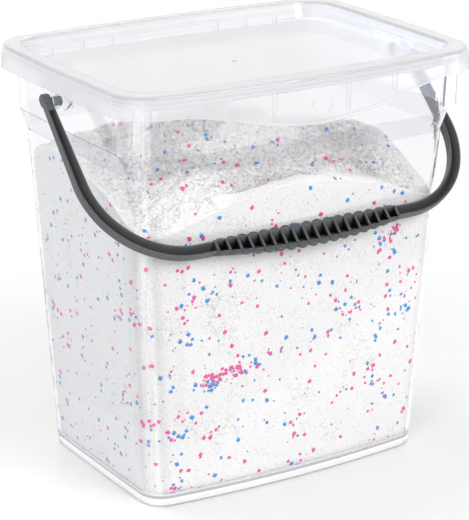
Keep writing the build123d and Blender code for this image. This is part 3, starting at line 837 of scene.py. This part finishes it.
def layer_shade(points, on_wall):
    """Shade of the powder: painted shade on the heap with the mounds' painted light and shade, pressed
    layers along the walls, and a band of painted shade by each rounded front corner.
    """
    heap_shade = HEAP_PAINTED_SHADE + mound(points[:, 0] / MM, points[:, 1] / MM)[1]
    shade = np.where(on_wall, 0.0, heap_shade)
    for wall, start, end, fade, depth in LAYERS:
        flat, facing = on_face(points, wall)
        run = np.subtract(end, start)
        above = (run[0] * (flat[:, 1] - start[1]) - run[1] * (flat[:, 0] - start[0])) / np.linalg.norm(run)
        rise = np.clip(above / fade + 0.5, 0, 1)
        shade = shade + depth * rise * rise * (3 - 2 * rise) * facing * on_wall
    # Painted shade in a band by each front corner, with an unshaded strip beside it
    height = points[:, 2] / MM
    past_x = np.abs(points[:, 0]) / MM - (WALL_FOOT_X + WALL_LEAN_X * height - CORNER_BAND)
    past_y = np.abs(points[:, 1]) / MM - (WALL_FOOT_Y + WALL_LEAN_Y * height - CORNER_BAND)
    band = np.clip(past_x / BAND_FADE_IN, 0, 1) * np.clip(past_y / BAND_FADE_IN, 0, 1)
    band = band * np.clip((CORNER_BAND - BAND_CLEAR - past_x) / BAND_FADE_OUT, 0, 1)
    return shade + CORNER_PAINTED_SHADE * band * (points[:, 1] < 0)


def looseness(x, y, inner):
    """How loose the heap is at a place: less by the wall, and hardly on the smooth strip in front."""
    strip = 1.0 if x < STRIP_LEFT else min(1, max(0, (y + STRIP_LINE) / STRIP_FADE))
    return (WALL_CONTACT + (1 - WALL_CONTACT) * inner) * (STRIP_LEAST + (1 - STRIP_LEAST) * strip)


def skin_points(solid, low, high):
    """Points of the skin ring by ring, from the heap's middle to the floor, and how loose each is."""
    foot = low[2] + FLOOR_GAP * MM
    above = high[2] + LOOK_FROM * MM
    straight = [low[2] + height * MM for height in STRAIGHT_HEIGHTS]
    angles = np.arange(TURN_STEPS) / TURN_STEPS * FULL_TURN
    ways = [Vector((math.cos(t), math.sin(t), 0)) for t in angles]
    fits = [np.polyfit(straight, [wall_reach(solid, way, z) for z in straight], 2) for way in ways]
    rim = []
    for way, fit in zip(ways, fits):
        z = straight[-1]
        for _ in range(RIM_TRIES):
            place = way * (np.polyval(fit, z) - RIM_INSET * MM)
            z = top_height(solid, place.x, place.y, above)
        rim.append((np.polyval(fit, z), z))
    points = []
    loose = []
    for ring in range(1, HEAP_RINGS + 1):
        part = ring / HEAP_RINGS
        inner = 1 - part ** RIM_FALL
        for way, (reach, edge_z) in zip(ways, rim):
            place = way * reach * part
            z = edge_z if ring == HEAP_RINGS else top_height(solid, place.x, place.y, above)
            z += mound(place.x / MM, place.y / MM)[0] * MM * inner
            points.append((place.x, place.y, z))
            loose.append(looseness(place.x / MM, place.y / MM, inner))
    for ring in range(1, WALL_RINGS + 1):
        part = ring / WALL_RINGS
        for way, fit, (_, edge_z) in zip(ways, fits, rim):
            z = edge_z + (foot - edge_z) * part ** WALL_CROWDING
            reach = np.polyval(fit, z) if z > straight[0] else wall_reach(solid, way, z)
            place = way * reach
            points.append((place.x, place.y, z))
            loose.append(0.0)
    points.append((0, 0, top_height(solid, 0, 0, above)))
    loose.append(1.0)
    points.append((0, 0, foot))
    loose.append(0.0)
    return points, loose


def skin_faces(crown, bottom):
    """Faces between the rings, closed by a crown point and a bottom point."""
    rings = HEAP_RINGS + WALL_RINGS
    last = (rings - 1) * TURN_STEPS
    faces = []
    for step in range(TURN_STEPS):
        after = (step + 1) % TURN_STEPS
        faces.append((crown, step, after))
        for ring in range(rings - 1):
            a = ring * TURN_STEPS
            b = a + TURN_STEPS
            faces.append((a + step, b + step, b + after, a + after))
        faces.append((last + step, bottom, last + after))
    return faces


def powder_skin(node):
    """Closed skin of the powder: rings over the heap, down the wall and across the floor."""
    rows, loose = skin_points(solid_lookup(node), *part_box("powder"))
    mesh = bpy.data.meshes.new("powder_skin")
    mesh.from_pydata(rows, [], skin_faces(len(rows) - 2, len(rows) - 1))
    points = np.array(rows)
    values = np.array(loose)
    on_wall = values == 0.0
    pink, blue = streak_density(points, on_wall)
    shade = layer_shade(points, on_wall)
    for name, data in (("loose", values), ("pink", pink), ("blue", blue), ("shade", shade)):
        stored = mesh.attributes.new(name, "FLOAT", "POINT")
        stored.data.foreach_set("value", data.astype(np.float32))
    return mesh


def add_powder(node):
    """Heaped powder in place of its plain solid, with pink and blue granules on it."""
    grain = grain_group()
    white = grainy("washing_powder", grain, POWDER_LIGHT, POWDER_SHADE, POWDER_GRAIN, POWDER_BUMP)
    heap = settled("powder_heap", powder_skin(node), heap_tree(white), RELIEF)
    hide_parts("powder")
    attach(heap, "tub")
    for name, light, deep, seed in (("pink", PINK_LIGHT, PINK_DEEP, 3), ("blue", BLUE_LIGHT, BLUE_DEEP, 11)):
        finish = grainy(f"{name}_granule", grain, light, deep, GRANULE_GRAIN, GRANULE_BUMP)
        tree = granule_tree(f"{name}_scatter", finish, name, seed)
        dots = settled(f"{name}_granules", heap.data, tree, GRANULE)
        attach(dots, "tub")


def finish_node(node, material):
    """Give a CAD node its finish."""
    node.data.materials.clear()
    node.data.materials.append(material)


def floor_material():
    """White that keeps the shadow near the foot and fades to plain white."""
    material, tree, shader, surface = new_material("floor_white")
    set_plain(shader, {"Base Color": (*FLOOR_WHITE, 1), "Roughness": 0.22, "Specular IOR Level": 0.35})
    seen = seen_ray(tree)
    glow = tree.nodes.new("ShaderNodeEmission")
    tree.links.new(maths(tree, "MULTIPLY", seen, FLOOR_GLOW), glow.inputs["Strength"])
    near = tree.nodes.new("ShaderNodeAddShader")
    tree.links.new(shader.outputs["BSDF"], near.inputs[0])
    tree.links.new(glow.outputs["Emission"], near.inputs[1])
    away = tree.nodes.new("ShaderNodeVectorMath")
    away.operation = "LENGTH"
    tree.links.new(object_coordinates(tree), away.inputs[0])
    fade = ramp(tree, away.outputs["Value"], FLOOR_FADE, interpolation="SMOOTHSTEP")
    path = tree.nodes.new("ShaderNodeLightPath")
    through = maths(tree, "MULTIPLY", path.outputs["Is Transmission Ray"], FLOOR_THROUGH_PLASTIC)
    white_part = maths(tree, "MULTIPLY", maths(tree, "MAXIMUM", fade, through), seen)
    far = tree.nodes.new("ShaderNodeEmission")
    tree.links.new(shader_mix(tree, white_part, near.outputs["Shader"], far.outputs["Emission"]), surface)
    return material


def add_floor():
    """Wide white floor that the pail stands on."""
    mesh = bpy.data.meshes.new("floor")
    r = FLOOR_REACH
    mesh.from_pydata([(-r, -r, 0), (r, -r, 0), (r, r, 0), (-r, r, 0)], [], [(0, 1, 2, 3)])
    mesh.materials.append(floor_material())
    floor = bpy.data.objects.new("floor", mesh)
    bpy.context.scene.collection.objects.link(floor)


def main():
    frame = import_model()
    cad_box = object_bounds()
    bpy.context.scene.view_settings.view_transform = "Standard"
    add_camera()
    set_world()
    add_lamps((cad_box[0] + cad_box[1]) / 2)
    add_floor()
    moulded = moulded_group()
    nodes = frame["nodes"]
    finish_node(nodes["tub"], clear_plastic(moulded, tub_painted_light_group()))
    finish_node(nodes["lid"], milky_plastic(moulded))
    finish_node(nodes["handle"], grey_plastic(moulded))
    add_powder(nodes["powder"])


main()
